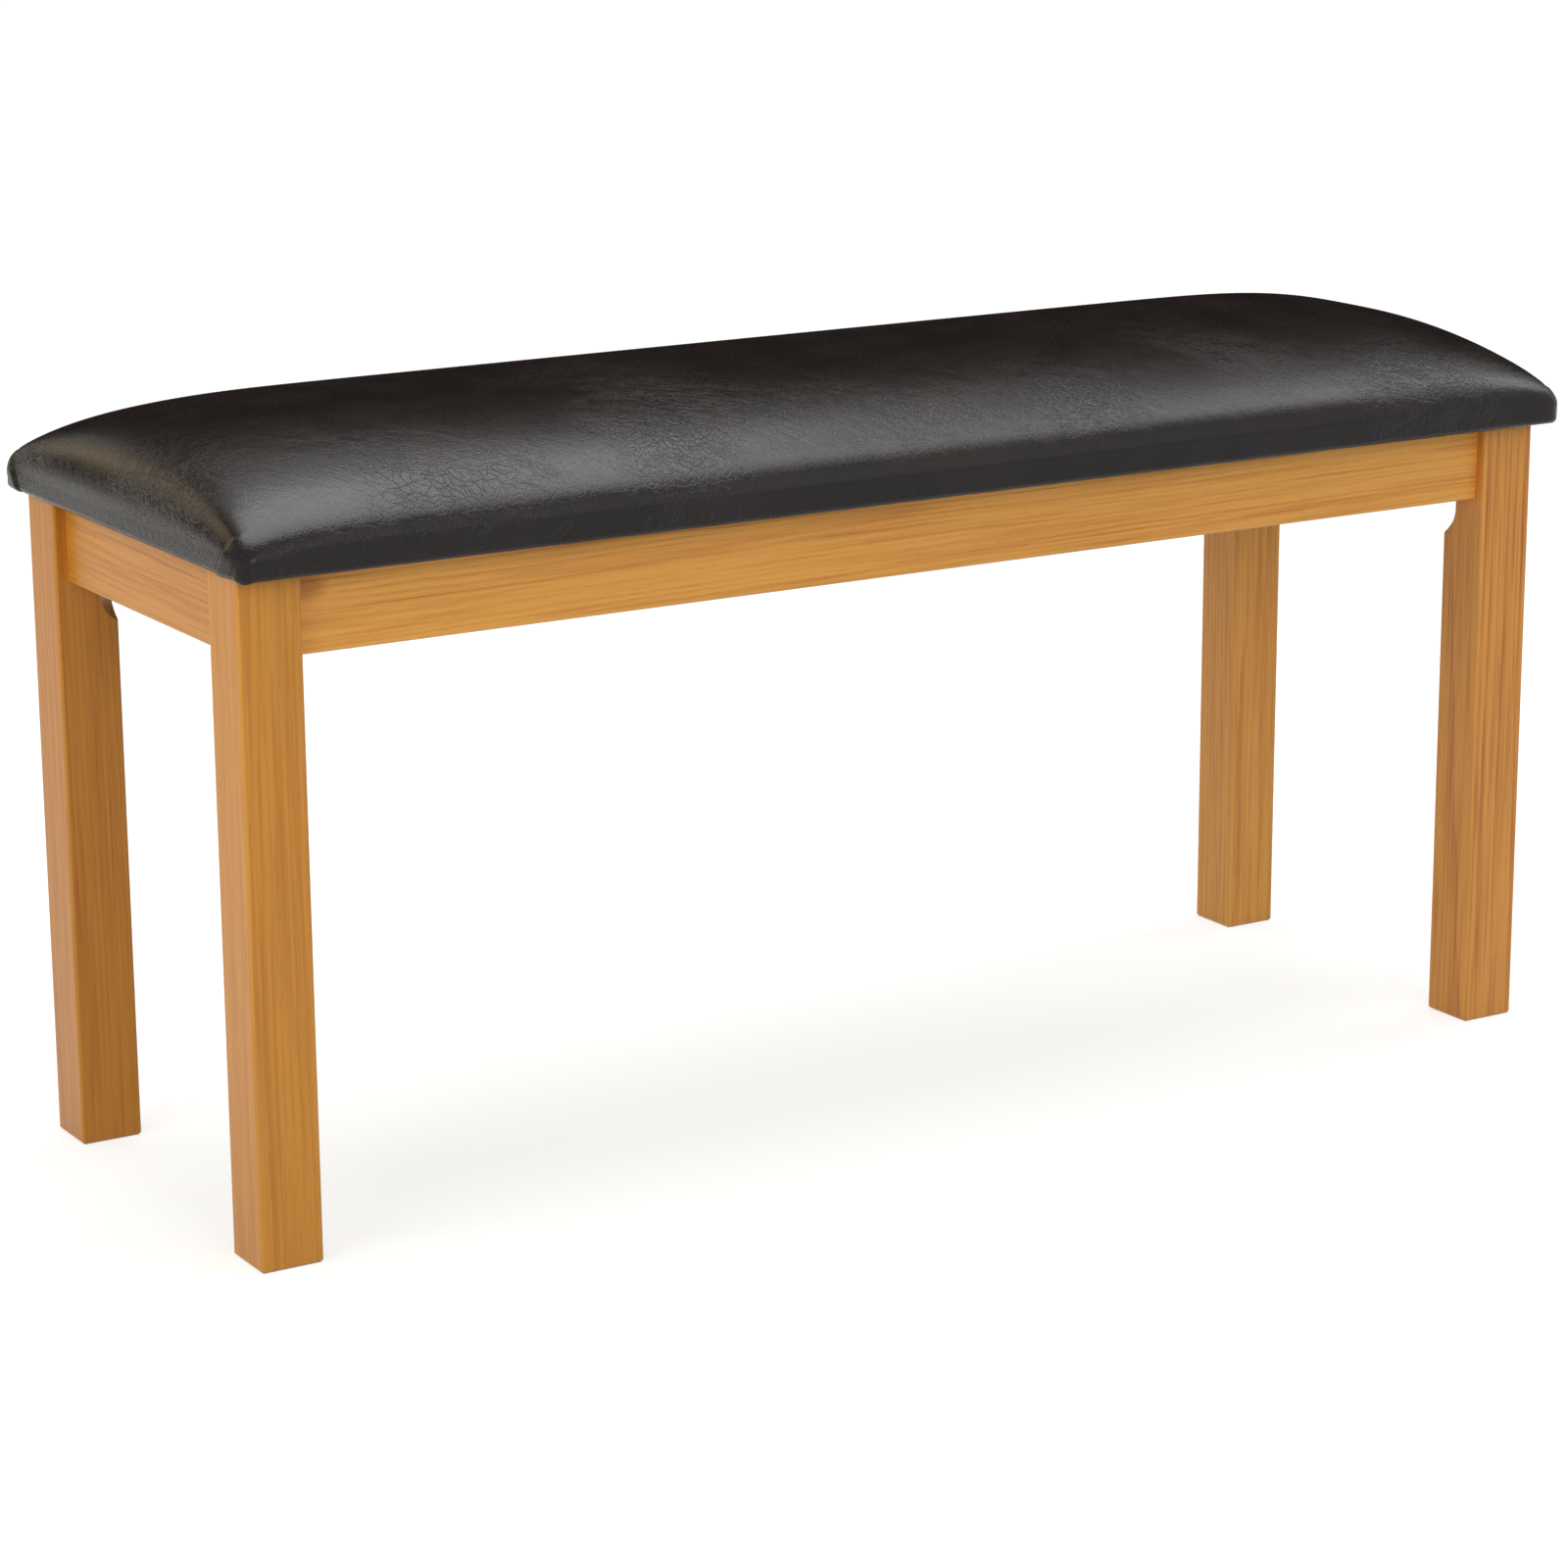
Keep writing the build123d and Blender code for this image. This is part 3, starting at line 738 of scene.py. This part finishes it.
floor_half = 40.0
ground = bmesh.new()
bmesh.ops.create_grid(ground, x_segments=1, y_segments=1, size=floor_half)
floor = piece("floor", ground)
paper = Finish("white_floor")
white_near, white_far = 0.71, 0.99  # how brightly it shows by itself
near, far = 0.9, 4.5  # from the bench
length = {"operation": "LENGTH"}
away = paper.node("ShaderNodeVectorMath", length, {0: paper.place()}, "Value")
shine = white_near + (white_far - white_near) * paper.between(away, near, far)
strength = looked_at(paper) * shine
white = paper.node("ShaderNodeBsdfDiffuse", {}, {"Color": (0.42, 0.42, 0.42, 1.0)})
glow = paper.node("ShaderNodeEmission", {}, {"Color": (1.0, 1.0, 1.0, 1.0), "Strength": strength})
lit = paper.node("ShaderNodeAddShader", {}, {0: white, 1: glow})
clear = paper.node("ShaderNodeBsdfTransparent", {}, {})
below = paper.node("ShaderNodeNewGeometry", {}, {}, "Backfacing")
one_sided = paper.node("ShaderNodeMixShader", {}, {0: below, 1: lit, 2: clear})
floor.data.materials.append(paper.closed(one_sided))

dim, pale_wall = 0.15, 0.84
room = Finish("room", bpy.data.worlds)
wall = {"Color": (0.98, 0.99, 1.0, 1.0), "Strength": dim + (pale_wall - dim) * looked_at(room)}
walls = room.node("ShaderNodeBackground", {}, wall)
bpy.context.scene.world = room.closed(walls, "ShaderNodeOutputWorld")

# Each card: the place of its middle, its turn in degrees, and half its width and height.
cards = (((2.1, 3.5, 2.05), -31, (3.0, 2.0)), ((-2.6, 3.3, 2.4), 38, (2.0, 2.35)))
card = bmesh.new()
for spot, turned, half_size in cards:
    upright = Euler((math.radians(90), 0.0, math.radians(turned))).to_matrix().to_4x4()
    stand = Matrix.Translation(spot) @ upright @ Matrix.Diagonal((*half_size, 1.0, 1.0))
    bmesh.ops.create_grid(card, x_segments=1, y_segments=1, size=1.0, matrix=stand)
black_card = piece("black_card", card)
black_card.visible_camera = black_card.visible_diffuse = black_card.visible_shadow = False
velvet = Finish("black_card")
nap = velvet.node("ShaderNodeBsdfDiffuse", {}, {"Color": (0.006, 0.006, 0.006, 1.0)})
black_card.data.materials.append(velvet.closed(nap))


def lamp(name, at, aim, width, height, power, colour, mirrored=True):
    """A rectangular soft lamp turned towards a point, seen in reflections if mirrored."""
    light = bpy.data.lights.new(name, "AREA")
    light.shape, light.size, light.size_y = "RECTANGLE", width, height
    light.energy, light.color = power, colour
    holder = bpy.data.objects.new(name, light)
    holder.location = at
    holder.rotation_euler = (Vector(aim) - Vector(at)).to_track_quat("-Z", "Y").to_euler()
    holder.visible_glossy = mirrored
    bpy.context.scene.collection.objects.link(holder)


lamp("overhead", (0.18, 0.18, 2.50), (0.15, 0.05, 0.40), 1.7, 2.1, 57.0, (1.0, 1.0, 1.0))
lamp("overhead_right", (2.05, 0.20, 2.40), (0.5, 0.0, 0.40), 0.9, 1.8, 16.5, (1.0, 1.0, 1.0))
lamp("front_right", (1.4, -2.6, 1.9), (0.0, 0.0, 0.35), 1.8, 2.4, 12.0, (1.0, 0.98, 0.95))
lamp("front", (-0.5, -3.7, 1.6), (0.1, 0.0, 0.3), 1.6, 1.4, 37.0, (1.0, 0.99, 0.97))
lamp("fill", (-2.0, -0.65, 1.05), (0.0, 0.0, 0.3), 1.6, 1.4, 20.2, (1.0, 0.98, 0.72),
     mirrored=False)
lamp("left_back", (-2.2, 2.6, 1.6), (-0.4, 0.0, 0.4), 2.4, 1.8, 25.0, (1.0, 0.79, 0.55))

eye_place = (-1.4075, -2.2870, 0.8901)
yaw, pitch, roll = math.radians(31.250), math.radians(14.611), math.radians(0.337)
eye = bpy.data.cameras.new("eye")
eye.lens, eye.sensor_width = 100.2, 36.0
eye.clip_start, eye.clip_end = 0.05, 100.0
ahead = Vector((math.sin(yaw) * math.cos(pitch), math.cos(yaw) * math.cos(pitch), -math.sin(pitch)))
level_right = Vector((math.cos(yaw), -math.sin(yaw), 0.0))
level_down = ahead.cross(level_right)
right = level_right * math.cos(roll) + level_down * math.sin(roll)
down = level_down * math.cos(roll) - level_right * math.sin(roll)
eye_turn = Matrix((right, -down, -ahead)).transposed().to_4x4()
camera = bpy.data.objects.new("eye", eye)
camera.matrix_world = Matrix.Translation(eye_place) @ eye_turn
bpy.context.scene.collection.objects.link(camera)
bpy.context.scene.camera = camera
bpy.context.scene.view_settings.view_transform = "Standard"
